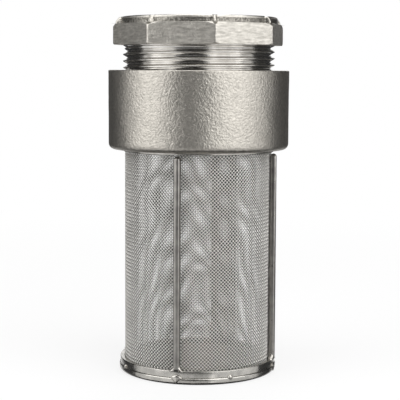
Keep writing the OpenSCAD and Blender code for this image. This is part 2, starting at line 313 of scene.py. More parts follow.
def make_materials():
    """One material for each finish on the valve."""
    return {
        "cast": finish(
            "blasted_cast_steel", (0.43, 0.408, 0.368), (0.56, 0.53, 0.48), (0.30, 0.39),
            [(230, EVEN, 0.02 * MM, 3.0), (1400, EVEN, 0.19 * MM, 4.0)], tone_scale=1100,
        ),
        "head": finish(
            "brushed_cast_steel", (0.44, 0.42, 0.38), (0.71, 0.68, 0.625), (0.35, 0.49),
            [(1500, EVEN, 0.09 * MM, 4.0), (2200, (0.07, 0.07, 1.0), 0.05 * MM, 3.0)],
            tone_scale=1500, tone_stretch=(0.25, 0.25, 1.0),
        ),
        "rim": finish(
            "rim_as_cast", (0.09, 0.085, 0.075), (0.42, 0.40, 0.36), (0.30, 0.45),
            [(1500, EVEN, 0.16 * MM, 4.0)], tone_scale=1500,
        ),
        "machined": finish(
            "machined_steel", (0.50, 0.485, 0.46), (0.66, 0.645, 0.62), (0.12, 0.20),
            [(5000, ROUND_LINES, 0.004 * MM, 2.0)], tone_scale=260,
        ),
        "strip": finish(
            "rolled_steel_strip", (0.44, 0.43, 0.40), (0.64, 0.62, 0.58), (0.14, 0.26),
            [(3500, ROUND_LINES, 0.006 * MM, 2.0), (420, EVEN, 0.05 * MM, 3.0)], tone_scale=300,
        ),
        "rib": finish(
            "drawn_steel_rod", (0.27, 0.26, 0.245), (0.40, 0.385, 0.36), (0.27, 0.37),
            [(4000, UP_LINES, 0.006 * MM, 2.0), (500, EVEN, 0.04 * MM, 3.0)], tone_scale=300,
        ),
        "weld": finish(
            "weld_metal", (0.36, 0.34, 0.31), (0.66, 0.64, 0.60), (0.18, 0.34),
            [(900, EVEN, 0.06 * MM, 3.0)], tone_scale=700,
        ),
        # The cloth's inner side is painted dark, down to 6% of its tone: painted shade inside the sleeve.
        "cloth": finish(
            "woven_steel_wire", (0.84, 0.82, 0.78), (0.96, 0.94, 0.90), (0.28, 0.34),
            [], tone_scale=90, metallic=0.5, painted_inner_shade=(WEAVE_R - 0.08 * MM, WEAVE_R + 0.30 * MM, 0.06),
        ),
        # The bottom disc's wire is the same steel wire as the sleeve's, painted far darker: painted shade
        # for the basket's floor.
        "shaded_flat_cloth": finish(
            "flat_woven_steel_wire_painted_shade", (0.20, 0.195, 0.185), (0.30, 0.29, 0.275), (0.30, 0.38),
            [], tone_scale=140,
        ),
        "spring": finish(
            "spring_wire", (0.50, 0.50, 0.49), (0.68, 0.68, 0.67), (0.16, 0.26),
            [(2500, EVEN, 0.004 * MM, 2.0)], tone_scale=300,
        ),
        "ptfe": finish(
            "ptfe", (0.78, 0.78, 0.75), (0.88, 0.88, 0.85), (0.36, 0.50),
            [(1800, ROUND_LINES, 0.01 * MM, 2.0)], tone_scale=200, metallic=0.0,
        ),
        "nitrile": finish(
            "nitrile_rubber", (0.012, 0.012, 0.013), (0.030, 0.030, 0.031), (0.48, 0.64),
            [(1600, EVEN, 0.02 * MM, 3.0)], tone_scale=500, metallic=0.0,
        ),
    }

# ---------------------------------------------------------------- mesh helpers

def waves(points, size, depth, seed):
    """A smooth random height for each point, with bumps about size metres across."""
    draw = np.random.default_rng(seed)
    total = np.zeros(points.shape[:-1])
    count = 14
    for _ in range(count):
        direction = draw.normal(size=3)
        direction *= TAU / (size * draw.uniform(0.8, 2.5)) / np.linalg.norm(direction)
        total += np.sin(points @ direction + draw.uniform(0, TAU))
    return total * depth / math.sqrt(count)


def grid_faces(rows, columns, close_rows, close_columns):
    """Quads over a grid of points, row by row."""
    i = np.arange(rows if close_rows else rows - 1)
    j = np.arange(columns if close_columns else columns - 1)
    i, j = (a.ravel() for a in np.meshgrid(i, j, indexing="ij"))
    below, beside = (i + 1) % rows, (j + 1) % columns
    here, next_row = i * columns, below * columns
    return np.stack([here + j, here + beside, next_row + beside, next_row + j], 1)


def signed_volume(points, quads):
    """Six times the volume that the quads enclose, negative if they face inwards."""
    a, b, c, d = (points[quads[:, k]] for k in range(4))
    return np.einsum("ij,ij->", a, np.cross(b, c)) + np.einsum("ij,ij->", a, np.cross(c, d))


class Shape:
    """Points and faces gathered for one piece."""

    def __init__(self):
        self.points, self.quads, self.tags, self.caps = [], [], [], []
        self.count = 0

    def add_grid(self, grid, close_rows=False, close_columns=True,
                 cap_rows=False, cap_columns=False, tags=None):
        """A grid of points (rows, columns, 3) as a closed skin.

        tags gives a material number for each point.
        """
        rows, columns = grid.shape[:2]
        total = rows * columns
        flat = grid.reshape(-1, 3)
        quads = grid_faces(rows, columns, close_rows, close_columns)
        middle = flat.mean(0)
        inwards = signed_volume(flat - middle, quads) < 0
        caps = []
        if cap_rows:
            caps += [list(range(columns))[::-1], list(range(total - columns, total))]
        if cap_columns:
            caps += [list(range(0, total, columns)), list(range(columns - 1, total, columns))[::-1]]
        if inwards:
            quads = quads[:, ::-1]
            caps = [cap[::-1] for cap in caps]
        tall = rows if close_rows else rows - 1
        wide = columns if close_columns else columns - 1
        self.points.append(flat)
        self.quads.append(quads + self.count)
        tags = np.broadcast_to(0 if tags is None else tags, (rows, columns))
        self.tags.append(tags[:tall, :wide].ravel())
        self.caps += [[k + self.count for k in cap] for cap in caps]
        self.count += len(flat)
        return self

    def piece(self, name, material, body, slot, nodes=()):
        """The finished object, riding on its body and standing for its CAD nodes."""
        points = np.concatenate(self.points)
        quads = np.concatenate(self.quads)
        tags = np.concatenate(self.tags)
        mesh = bpy.data.meshes.new(name)
        cap_loops = [k for cap in self.caps for k in cap]
        corners = np.concatenate([quads.ravel(), np.array(cap_loops, int)])
        sizes = np.concatenate([np.full(len(quads), 4), np.array([len(c) for c in self.caps], int)])
        starts = np.concatenate([[0], np.cumsum(sizes)[:-1]])
        numbers = np.concatenate([tags, np.zeros(len(self.caps), int)])
        mesh.vertices.add(len(points))
        mesh.vertices.foreach_set("co", points.astype(np.float32).ravel())
        mesh.loops.add(int(sizes.sum()))
        mesh.loops.foreach_set("vertex_index", corners.astype(np.int32))
        mesh.polygons.add(len(sizes))
        mesh.polygons.foreach_set("loop_start", starts.astype(np.int32))
        mesh.polygons.foreach_set("use_smooth", np.ones(len(sizes), bool))
        for one in material if isinstance(material, (list, tuple)) else [material]:
            mesh.materials.append(one)
        mesh.polygons.foreach_set("material_index", numbers.astype(np.int32))
        mesh.update(calc_edges=True)
        mesh.validate()
        made = bpy.data.objects.new(name, mesh)
        bpy.context.scene.collection.objects.link(made)
        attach(made, body)
        if nodes:
            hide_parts(*nodes)
        return made


def outline(corners, closed=True):
    """Points along a path of (r, z, fillet, step, tag) corners, in order.

    Each corner is rounded to its fillet. step is how far apart the points of the side after
    the corner are, and tag is that side's material number.
    """
    count = len(corners)
    made = []
    for k, (r, z, fillet, step, tag) in enumerate(corners):
        here = np.array([r, z])
        before = np.array(corners[k - 1][:2]) - here
        after = np.array(corners[(k + 1) % count][:2]) - here
        reach = 0.0
        if fillet > 0 and (closed or 0 < k < count - 1):
            before /= np.linalg.norm(before)
            ahead = after / np.linalg.norm(after)
            half = math.acos(max(-1.0, min(1.0, float(before @ ahead)))) / 2
            reach = fillet / math.tan(half)
            centre = here + (before + ahead) / np.linalg.norm(before + ahead) * fillet / math.sin(half)
            first = here + before * reach - centre
            last = here + ahead * reach - centre
            sweep = math.pi - 2 * half
            steps = max(2, round(sweep / 0.32))
            side = np.sign(first[0] * last[1] - first[1] * last[0])
            for i in range(steps + 1):
                c, s = math.cos(sweep * i / steps), math.sin(sweep * i / steps) * side
                arm = [first[0] * c - first[1] * s, first[0] * s + first[1] * c]
                made.append((*(centre + arm), tag))
        else:
            made.append((*here, tag))
        if not closed and k == count - 1:
            break
        start = np.array(made[-1][:2])
        next_corner = corners[(k + 1) % count]
        goal = np.array(next_corner[:2])
        run = goal - start
        length = np.linalg.norm(run)
        inner = int(length / step) if step else 0
        spare = next_corner[2] * 1.2
        for i in range(1, inner):
            if length * i / inner < length - spare:
                made.append((*(start + run * i / inner), tag))
    r, z, tags = (np.array(column) for column in zip(*made))
    return r, z, tags.astype(int)


def spread(values, angles):
    """Values given as (rows,), repeated for every column."""
    return values[:, None] * np.ones(len(angles))


def around(r, z, angles):
    """Grid of points for radii and heights given as (rows,) or (rows, columns)."""
    r, z = (spread(values, angles) if np.ndim(values) == 1 else values for values in (r, z))
    return np.stack([r * np.sin(angles), -r * np.cos(angles), z], -1)


def turn_angles(count):
    """Angles evenly spaced round a full turn."""
    return np.arange(count) * TAU / count


def turned(name, corners, material, body, slot, nodes, columns=192, dents=None):
    """A ring turned about the axis. corners are (r, z, fillet) in metres."""
    r, z, _ = outline([(*corner, 2 * MM, 0) for corner in corners])
    grid = around(r, z, turn_angles(columns))
    if dents:
        grid = push_out(grid, waves(grid, *dents))
    return Shape().add_grid(grid, close_rows=True).piece(name, material, body, slot, nodes)


def push_out(grid, height):
    """Moves points away from the axis by height."""
    flat = grid.copy()
    flat[..., 2] = 0
    away = flat / np.maximum(np.linalg.norm(flat, axis=-1, keepdims=True), 1e-9)
    return grid + away * height[..., None]


def smooth_less(a, b, blend):
    """The lesser of a and b, rounded where they cross."""
    near = np.maximum(blend - np.abs(a - b), 0) / blend
    return np.minimum(a, b) - near * near * blend / 4


def polygon_radius(angles, flat_r, sides, turn, blend):
    """Radius of a regular polygon with rounded corners, which has a corner at the angle turn."""
    sector = TAU / sides
    off = np.mod(angles - turn, sector) - sector / 2
    near = flat_r / np.cos(off)
    other = flat_r / np.cos(sector - np.abs(off))
    return smooth_less(near, other, blend)


def corner_angles(sides, turn):
    """Angles for the columns of a polygon's skin, closer together near its corners."""
    sector = 360 / sides
    half = [0, 0.3, 0.6, 0.95, 1.35, 1.9, 2.7, 3.8]
    half += list(np.linspace(5.2, sector / 2, round((sector / 2 - 5.2) / 1.6) + 1))
    offsets = [-a for a in half[:0:-1]] + half[:-1]
    angles = [turn + math.radians(sector * k + a) for k in range(sides) for a in offsets]
    return np.array(angles)

# ---------------------------------------------------------------- threads

def thread_height(phase, crest):
    """Share of the thread's depth, 0 in the root and 1 on the crest, at a phase of 0 to 1 turn."""
    off = np.abs(np.mod(phase, 1.0) - 0.5) * 2
    return np.clip((off - crest) / (1 - 2 * crest), 0, 1)


def helix_radius(z, angles, root, crest, start, stop, run_out=1.5 * MM):
    """Radius of a right-handed thread, and how much of it is left near its two ends."""
    z = spread(z, angles)
    phase = (z - THREAD_LOW) / PITCH - angles / TAU
    share = thread_height(phase, THREAD_CREST)
    fade = np.clip((z - start) / run_out, 0, 1) * np.clip((stop - z) / run_out, 0, 1)
    return root + (crest - root) * share, fade

# ---------------------------------------------------------------- valve body and cap

def make_body(look):
    """The cast ring: blasted outside, threaded inside for the cap."""
    recess_r = 27 * MM
    ledge_z = GASKET_LOW.z
    web_top = BODY_LOW.z + 6.1 * MM
    seat_z = SEAL_LOW.z - 0.02 * MM
    bore_r = THREAD_R + THREAD_GAP
    thread_top = BODY_HIGH.z - 0.75 * MM
    r, z, tags = outline([
        (recess_r, BODY_LOW.z, 0.3 * MM, 1 * MM, 0),
        (BODY_R, BODY_LOW.z, 2.0 * MM, 0.8 * MM, 0),
        (BODY_R, BODY_HIGH.z, 0.45 * MM, 1 * MM, 0),
        (THREAD_R + 0.8 * MM, BODY_HIGH.z, 0.2 * MM, 0, 1),
        (bore_r, thread_top, 0, PITCH / 9, 1),
        (bore_r, THREAD_LOW, 0, 1 * MM, 1),
        (recess_r + 0.1 * MM, THREAD_LOW - 0.5 * MM, 0, 1 * MM, 1),
        (recess_r + 0.1 * MM, ledge_z, 0.1 * MM, 1 * MM, 1),
        (24 * MM, ledge_z, 0.2 * MM, 1 * MM, 0),
        (24 * MM, web_top, 1.0 * MM, 1 * MM, 0),
        (19.2 * MM, web_top, 0.4 * MM, 0, 1),
        (19.0 * MM, seat_z, 0.2 * MM, 0, 1),
        (17.5 * MM, seat_z, 0.3 * MM, 1 * MM, 1),
        (17.5 * MM, web_top - 3 * MM, 0.5 * MM, 2 * MM, 0),
        (recess_r, web_top - 3 * MM, 0.5 * MM, 1 * MM, 0),
    ])
    angles = turn_angles(288)
    radius = spread(r, angles)
    inner = (np.abs(r - bore_r) < SAME) & (z >= THREAD_LOW) & (z < BODY_HIGH.z - 0.7 * MM)
    threaded, fade = helix_radius(z, angles, THREAD_ROOT_R, THREAD_R, THREAD_LOW, thread_top, 1 * MM)
    cut = bore_r + (threaded - THREAD_R) * fade
    radius[inner] = cut[inner]
    grid = around(radius, z, angles)
    outside = np.clip((radius - 29 * MM) / (1 * MM), 0, 1)
    rough = waves(grid, 9 * MM, 0.035 * MM, 11) + waves(grid, 2.2 * MM, 0.012 * MM, 12)
    grid = push_out(grid, rough * outside)
    shape = Shape().add_grid(grid, close_rows=True, tags=tags[:, None])
    shape.piece("body_casting", [look["cast"], look["machined"]], "housing", "cast_body", ["valve_body"])


def make_cap(look):
    """The octagon end cap: brushed flats and a cast rim, male thread below, pipe thread inside."""
    top = CAP_HIGH.z
    corner_r = HEAD_FLAT_R / math.cos(math.pi / 8)
    pipe_low = SHOULDER_Z + 2 * MM
    groove_low = SNAP_LOW.z - 0.1 * MM
    groove_high = SNAP_HIGH.z + 0.1 * MM
    r, z, tags = outline([
        (GUIDE_SEAT_R, CAP_LOW.z, 0.2 * MM, 0, 1),
        (THREAD_ROOT_R - 0.5 * MM, CAP_LOW.z, 0.2 * MM, 0, 1),
        (THREAD_ROOT_R, CAP_LOW.z + 0.6 * MM, 0.2 * MM, PITCH / 10, 1),
        (THREAD_ROOT_R, THREAD_TOP - 0.35 * MM, 0, 0, 1),
        (THREAD_R - 0.15 * MM, THREAD_TOP + 0.2 * MM, 0.1 * MM, 0, 1),
        (THREAD_R - 0.15 * MM, HEAD_Z, 0.15 * MM, 0, 0),
        (corner_r - 0.4 * MM, HEAD_Z, 0.2 * MM, 0.3 * MM, 0),
        (corner_r + 0.5 * MM, HEAD_Z + 0.8 * MM, 0.2 * MM, 0.6 * MM, 0),
        (corner_r + 0.5 * MM, HEAD_RIM_Z - 1.5 * MM, 0, 0.17 * MM, 0),
        (corner_r - 1.0 * MM, HEAD_RIM_Z, 0.2 * MM, 0.2 * MM, 0),
        (HEAD_RIM_R, HEAD_RIM_Z, 0.15 * MM, 0.22 * MM, 2),
        (HEAD_RIM_R - 0.05 * MM, top - 0.85 * MM, 0, 0.22 * MM, 0),
        (HEAD_RIM_R - 0.3 * MM, top, 0.5 * MM, 0.8 * MM, 1),
        (PIPE_MAJOR_R + 0.2 * MM, top, 0.2 * MM, 0.3 * MM, 1),
        (PIPE_MAJOR_R - 0.05 * MM, top - 0.35 * MM, 0, PITCH / 10, 1),
        (PIPE_MAJOR_R - 0.05 * MM, pipe_low, 0, 0.5 * MM, 1),
        (22 * MM, pipe_low, 0.2 * MM, 0, 1),
        (22 * MM, SHOULDER_Z, 0.2 * MM, 0.5 * MM, 1),
        (GUIDE_SEAT_R, SHOULDER_Z, 0.1 * MM, 1.5 * MM, 1),
        (GUIDE_SEAT_R, groove_high, 0, 0, 1),
        (24.2 * MM, groove_high, 0, 0, 1),
        (24.2 * MM, groove_low, 0, 0, 1),
        (GUIDE_SEAT_R, groove_low, 0, 2 * MM, 1),
    ])
    angles = corner_angles(8, HEAD_TURN)
    radius = spread(r, angles)
    neck_low = CAP_LOW.z + 0.6 * MM
    male, fade = helix_radius(z, angles, THREAD_ROOT_R, THREAD_R, neck_low, THREAD_TOP, 1.2 * MM)
    outer_neck = (np.abs(r - THREAD_ROOT_R) < SAME) & (z > neck_low) & (z < THREAD_TOP)
    radius[outer_neck] = (THREAD_ROOT_R + (male - THREAD_ROOT_R) * fade)[outer_neck]
    mouth = top - 1.7 * MM
    female, fade = helix_radius(
        z, angles, PIPE_MINOR_R, PIPE_MAJOR_R, pipe_low, top + 1 * MM, 1 * MM)
    opened = PIPE_MAJOR_R + 0.2 * MM - spread(np.clip(top - z, 0, None), angles)
    bored = PIPE_MINOR_R + (female - PIPE_MINOR_R) * fade
    inner_neck = (np.abs(r - PIPE_MAJOR_R + 0.05 * MM) < SAME) & (z >= pipe_low)
    radius[inner_neck] = np.maximum(bored, np.where(z[:, None] > mouth, opened, 0))[inner_neck]
    head = (r > THREAD_R) & (z >= HEAD_Z - SAME)
    octagon = polygon_radius(angles, HEAD_FLAT_R, 8, HEAD_TURN, 0.35 * MM)
    clipped = smooth_less(radius, octagon, 0.3 * MM)
    side = head & (z < HEAD_RIM_Z + SAME)
    radius[side] = clipped[side]
    sector = TAU / 8
    off = np.mod(angles - HEAD_TURN + sector / 2, sector) - sector / 2
    from_corner = np.abs(off) * HEAD_FLAT_R
    spur = np.exp(-((from_corner / (0.62 * MM)) ** 4))
    rim = (r > HEAD_RIM_R - 0.4 * MM) & (z >= HEAD_RIM_Z - SAME)
    below = top - z[rim]
    reach = np.clip(0.6 * MM + 0.6 * below, 0, 1.7 * MM) * np.clip(below / (0.3 * MM), 0, 1)
    radius[rim] += spur[None, :] * reach[:, None]
    grid = around(radius, z, angles)
    cast = np.clip((radius - THREAD_R - 0.6 * MM) / (0.5 * MM), 0, 1) * (z < top - 0.2 * MM)[:, None]
    rough = waves(grid, 7 * MM, 0.030 * MM, 21) + waves(grid, 2.0 * MM, 0.014 * MM, 22)
    grid = push_out(grid, rough * cast)
    tags = np.where((tags[:, None] == 2) & (spur > 0.3), 0, tags[:, None])
    shape = Shape().add_grid(grid, close_rows=True, tags=tags)
    finishes = [look["head"], look["machined"], look["rim"]]
    shape.piece("octagon_end_cap", finishes, "housing", "machined_cap", ["end_cap"])

# ---------------------------------------------------------------- strainer

def add_wire(shape, centres, out, side, radius):
    """A four-sided wire through centres (stations, 3), with two directions across it."""
    rings = np.stack([centres + corner * radius for corner in (out, side, -out, -side)], 1)
    shape.add_grid(rings, cap_rows=True)


def uv_for_bake(made, low, high):
    """Plain cylindrical texture places, which the woven cloth is too fine to unwrap without."""
    mesh = made.data
    layer = mesh.uv_layers.new(name="OFBake")
    co = np.zeros(len(mesh.vertices) * 3, np.float32)
    mesh.vertices.foreach_get("co", co)
    co = co.reshape(-1, 3)
    index = np.zeros(len(mesh.loops), np.int32)
    mesh.loops.foreach_get("vertex_index", index)
    u = np.arctan2(co[:, 0], -co[:, 1]) / TAU + 0.5
    v = (co[:, 2] - low) / (high - low)
    layer.data.foreach_set("uv", np.stack([u, v], 1)[index].astype(np.float32).ravel())


def make_cloth(look):
    """The sleeve of plain-woven wire on the bias: every wire climbs at 45 degrees, over and under."""
    low = SLEEVE_LOW.z + WIRE_D
    step = TAU * WEAVE_R / WIRES_AROUND / 2
    rows = int((SLEEVE_HIGH.z - low) / step)
    for lean in (1, -1):
        for half in (0, 1):
            shape = Shape()
            for wire in range(half, WIRES_AROUND, 2):
                climb(shape, WEAVE_R, 2 * wire, np.arange(rows), lean, low, step)
            name = f"cloth_sleeve_{'right' if lean > 0 else 'left'}_{half + 1}"
            made = shape.piece(name, look["cloth"], "housing", "mesh_wire", ["mesh_sleeve"])
            uv_for_bake(made, low, SLEEVE_HIGH.z)
    first, last = (round(angle * WIRES_AROUND / math.pi) for angle in (LAP_FROM, LAP_TO))
    shape = Shape()
    for lean in (1, -1):
        begin, end = (first - rows, last) if lean > 0 else (first, last + rows)
        for start in range(begin, end):
            if start % 2:
                continue
            inside = np.array([row for row in range(rows) if first <= start + lean * row <= last])
            if len(inside) > 1:
                climb(shape, WEAVE_R - LAP_DEPTH, start, inside, lean, low, step)
    # The lap lies inside the sleeve's weave radius, so its wire takes the full painted shade.
    made = shape.piece("cloth_lap", look["cloth"], "housing", "mesh_wire", ["mesh_lap"])
    uv_for_bake(made, low, SLEEVE_HIGH.z)


def climb(shape, radius, start, rows, lean, low, step):
    """One wire of the cloth from the column start: rightwards for a lean of 1, leftwards for -1."""
    columns = start + lean * rows
    angles = columns * math.pi / WIRES_AROUND
    over = np.where(columns % 2 == 0, 1.0, -1.0) * lean
    out = np.stack([np.sin(angles), -np.cos(angles), np.zeros(len(angles))], -1)
    along = np.stack([np.cos(angles) * lean, np.sin(angles) * lean, np.ones(len(angles))], -1)
    side = np.cross(out, along / math.sqrt(2))
    centres = out * (radius + over * WEAVE_SWING)[:, None]
    centres[:, 2] = low + rows * step
    uneven = np.abs(out[:, 1]) + 1.5 * np.clip(out[:, 1], 0, 1)
    centres[:, 2] += waves(centres, 17 * MM, 0.22 * MM, 21) * uneven
    add_wire(shape, centres, out, side, WIRE_D / 2 * 1.06)


def make_bottom_cloth(look):
    """The flat disc of cloth between the two foot rings."""
    edge = BOTTOM_HIGH.x - WIRE_D
    middle = (BOTTOM_LOW.z + BOTTOM_HIGH.z) / 2
    count = int(edge / CLOTH_PITCH)
    lines = np.arange(-count, count + 1)
    shape = Shape()
    for i in lines:
        across = math.sqrt(edge ** 2 - (i * CLOTH_PITCH) ** 2)
        reach = int(across / CLOTH_PITCH)
        if reach < 1:
            continue
        j = np.arange(-reach, reach + 1)
        sign = np.where((i + j) % 2 == 0, 1.0, -1.0) * WIRE_D / 2 * 0.7
        line = np.full(len(j), i * CLOTH_PITCH)
        along_x = np.stack([j * CLOTH_PITCH, line, middle + sign], -1)
        along_y = np.stack([line, j * CLOTH_PITCH, middle - sign], -1)
        for centres, cross in ((along_x, (0, 1, 0)), (along_y, (1, 0, 0))):
            add_wire(shape, centres, UP, np.array(cross, float), WIRE_D / 2)
    # Its dark wire colour is painted shade.
    made = shape.piece("cloth_bottom", look["shaded_flat_cloth"], "housing", "mesh_wire", ["bottom_mesh"])
    uv_for_bake(made, -1, 1)


def make_rings(look):
    """The collar under the body and the two rings at the foot."""
    collar_in = COLLAR_HIGH.x - 0.65 * MM
    turned("collar_strip", [
        (collar_in, COLLAR_LOW.z, 0.2 * MM), (COLLAR_HIGH.x, COLLAR_LOW.z, 0.25 * MM),
        (COLLAR_HIGH.x, COLLAR_HIGH.z, 0.1 * MM), (collar_in, COLLAR_HIGH.z, 0.1 * MM),
    ], look["strip"], "housing", "sheet_steel", ["strainer_collar"], dents=(9 * MM, 0.02 * MM, 31))
    inner = SLEEVE_HIGH.x + 0.05 * MM
    rim_r = RIM_HIGH.x - 0.3 * MM
    turned("upper_foot_ring", [
        (inner, RIM_LOW.z, 0.2 * MM), (rim_r, RIM_LOW.z, 0.15 * MM),
        (rim_r, RIM_HIGH.z, 0.16 * MM), (inner, RIM_HIGH.z, 0.2 * MM),
    ], look["strip"], "housing", "sheet_steel", ["rim_ring"], columns=256, dents=(8 * MM, 0.035 * MM, 32))
    turned("lower_foot_ring", [
        (24 * MM, BASE_LOW.z, 0.3 * MM), (BASE_HIGH.x, BASE_LOW.z, 1.1 * MM),
        (BASE_HIGH.x, BASE_HIGH.z, 0.36 * MM), (24 * MM, BASE_HIGH.z, 0.3 * MM),
    ], look["strip"], "housing", "sheet_steel", ["base_ring"], columns=256, dents=(8 * MM, 0.035 * MM, 33))


def rounded(turn, power):
    """Radius of a unit outline: a diamond for a power of 1, a circle for 2, squarer above that."""
    return (np.abs(np.cos(turn)) ** power + np.abs(np.sin(turn)) ** power) ** (-1 / power)


def rod(path, radii, twist, sides=36):
    """Grid of rings along an upright path: a square rod with well rounded corners, turned by twist."""
    turn = turn_angles(sides)
    squared = rounded(turn, RIB_POWER)
    away = turn[None, :] + twist[:, None]
    circle = np.stack([np.cos(away), np.sin(away), np.zeros(away.shape)], -1)
    return path[:, None, :] + circle * squared[None, :, None] * radii[:, None, None]


def make_ribs(look):
    """Four upright rods, not quite straight, with rounded top ends."""
    straight = 70
    for number, (low, high) in enumerate(RIB_BOXES, 1):
        middle = (low + high) / 2
        radius = (high.x - low.x) / 2
        heights = np.linspace(low.z - 0.02 * MM, high.z - radius, straight)
        dome = np.linspace(0, math.radians(85), 8)[1:]
        heights = np.concatenate([heights, high.z - radius + radius * np.sin(dome)])
        radii = np.concatenate([np.full(straight, radius), radius * np.cos(dome)])
        path = np.array([middle.x, middle.y, 0.0]) + heights[:, None] * UP
        path[:, 0] += waves(path, 30 * MM, 0.05 * MM, 40 + number)
        radii = radii * (1 + waves(path, 4 * MM, 0.008, 50 + number))
        twist = rib_angle(number) + waves(path, 45 * MM, math.radians(5), 54 + number)
        shape = Shape().add_grid(rod(path, radii, twist), cap_rows=True)
        shape.piece(f"rib_rod_{number}", look["rib"], "housing", "sheet_steel", [f"rib_{number}"])


def rib_angle(number):
    """A rib's place round the axis."""
    low, high = RIB_BOXES[number - 1]
    return math.atan2((low.x + high.x) / 2, -(low.y + high.y) / 2)


def placed(points, angle, radius, z):
    """Points given as (sideways, outwards, up), moved to a place on the circle of that radius."""
    side = np.array([math.cos(angle), math.sin(angle), 0])
    out = np.array([math.sin(angle), -math.cos(angle), 0])
    spot = out * radius + UP * z
    return spot + points[..., :1] * side + points[..., 1:2] * out + points[..., 2:] * UP


def rib_flare(angle, seed):
    """Weld metal that spreads from a rib's foot over the ring's top."""
    rib_r = 1.1 * MM
    reach = rib_r + 0.05 * MM + SLEEVE_HIGH.x
    share = np.linspace(0, 1, 9)
    rows_z = (RIM_HIGH.z - 0.15 * MM) + share * 2.1 * MM
    rows_r = rib_r + 0.02 * MM + 1.0 * MM * (1 - share) ** 2.2
    turn = turn_angles(28)
    r = rows_r[:, None] * (1 + 0.28 * np.cos(2 * turn) * (1 - share[:, None]))
    points = np.stack([r * np.cos(turn), r * np.sin(turn), rows_z[:, None] * np.ones(len(turn))], -1)
    points[..., 0] += waves(points, 1.5 * MM, 0.06 * MM, seed) * (1 - share[:, None])
    points[..., 1] = np.clip(points[..., 1], -rib_r - 0.02 * MM, 0.95 * MM)
    return placed(points, angle, reach, 0)


def bead(angle, radius, z, width, height, out, seed, power, top=1.0):
    """A drop of weld metal on an upright face. power 1 is a diamond and 2 is an ellipse.

    top is how tall its upper half is, as a share of its lower half.
    """
    share = np.concatenate([np.linspace(0.02, 1, 9), [1.0]])
    turn = turn_angles(36)
    edge = rounded(turn, power)
    x = share[:, None] * edge * np.cos(turn) * width / 2
    up = share[:, None] * edge * np.where(turn < math.pi, top, 1.0) * np.sin(turn) * height / 2
    rise = out * np.sqrt(np.clip(1 - share ** 2, 0, 1))[:, None] * np.ones(len(turn))
    rise[-1] = -0.35 * MM
    rise = rise - x ** 2 / (2 * radius)
    points = np.stack([x, rise, up], -1)
    points[..., 0] += waves(points, 1.2 * MM, 0.05 * MM, seed) * share[:, None]
    points[..., 2] += waves(points, 1.4 * MM, 0.05 * MM, seed + 1) * share[:, None]
    return placed(points, angle, radius, z)


def make_welds(look):
    """Flares and beads at the ribs' feet, and the small spot welds between them."""
    joint = RIM_LOW.z
    radius = RIM_HIGH.x - 0.10 * MM
    shape = Shape()
    for number in (1, 2, 3, 4):
        angle = rib_angle(number)
        shape.add_grid(rib_flare(angle, 60 + number), cap_rows=True)
        drop = bead(angle, radius, joint + 0.3 * MM, 3.9 * MM, 4.6 * MM, 0.5 * MM,
                    70 + 2 * number, 1.2, 0.4)
        shape.add_grid(drop, cap_rows=True)
    shape.piece("rib_foot_welds", look["weld"], "housing", "sheet_steel", ["rib_welds"])
    shape = Shape()
    for k in range(4):
        angle = math.radians(24 + 90 * k)
        nub = bead(angle, radius, joint, 1.9 * MM, 1.7 * MM, 0.45 * MM, 90 + 2 * k, 2)
        shape.add_grid(nub, cap_rows=True)
    shape.piece("spot_weld_nubs", look["weld"], "housing", "sheet_steel", ["spot_welds"])

# ---------------------------------------------------------------- check valve

def remeshed(shape, name, material, voxel, nodes, slot):
    """Solids run together into one cast skin."""
    rough = shape.piece(name + "_rough", material, "housing", slot)
    modifier = rough.modifiers.new("cast", "REMESH")
    modifier.mode = "VOXEL"
    modifier.voxel_size = voxel
    modifier.use_smooth_shade = True
    smooth = rough.modifiers.new("smooth", "SMOOTH")
    smooth.factor = 0.5
    smooth.iterations = 3
    bpy.context.view_layer.update()
    cast = rough.evaluated_get(bpy.context.evaluated_depsgraph_get())
    mesh = bpy.data.meshes.new_from_object(cast)
    made = bpy.data.objects.new(name, mesh)
    bpy.context.scene.collection.objects.link(made)
    bpy.data.objects.remove(rough)
    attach(made, "housing")
    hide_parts(*nodes)
    return made


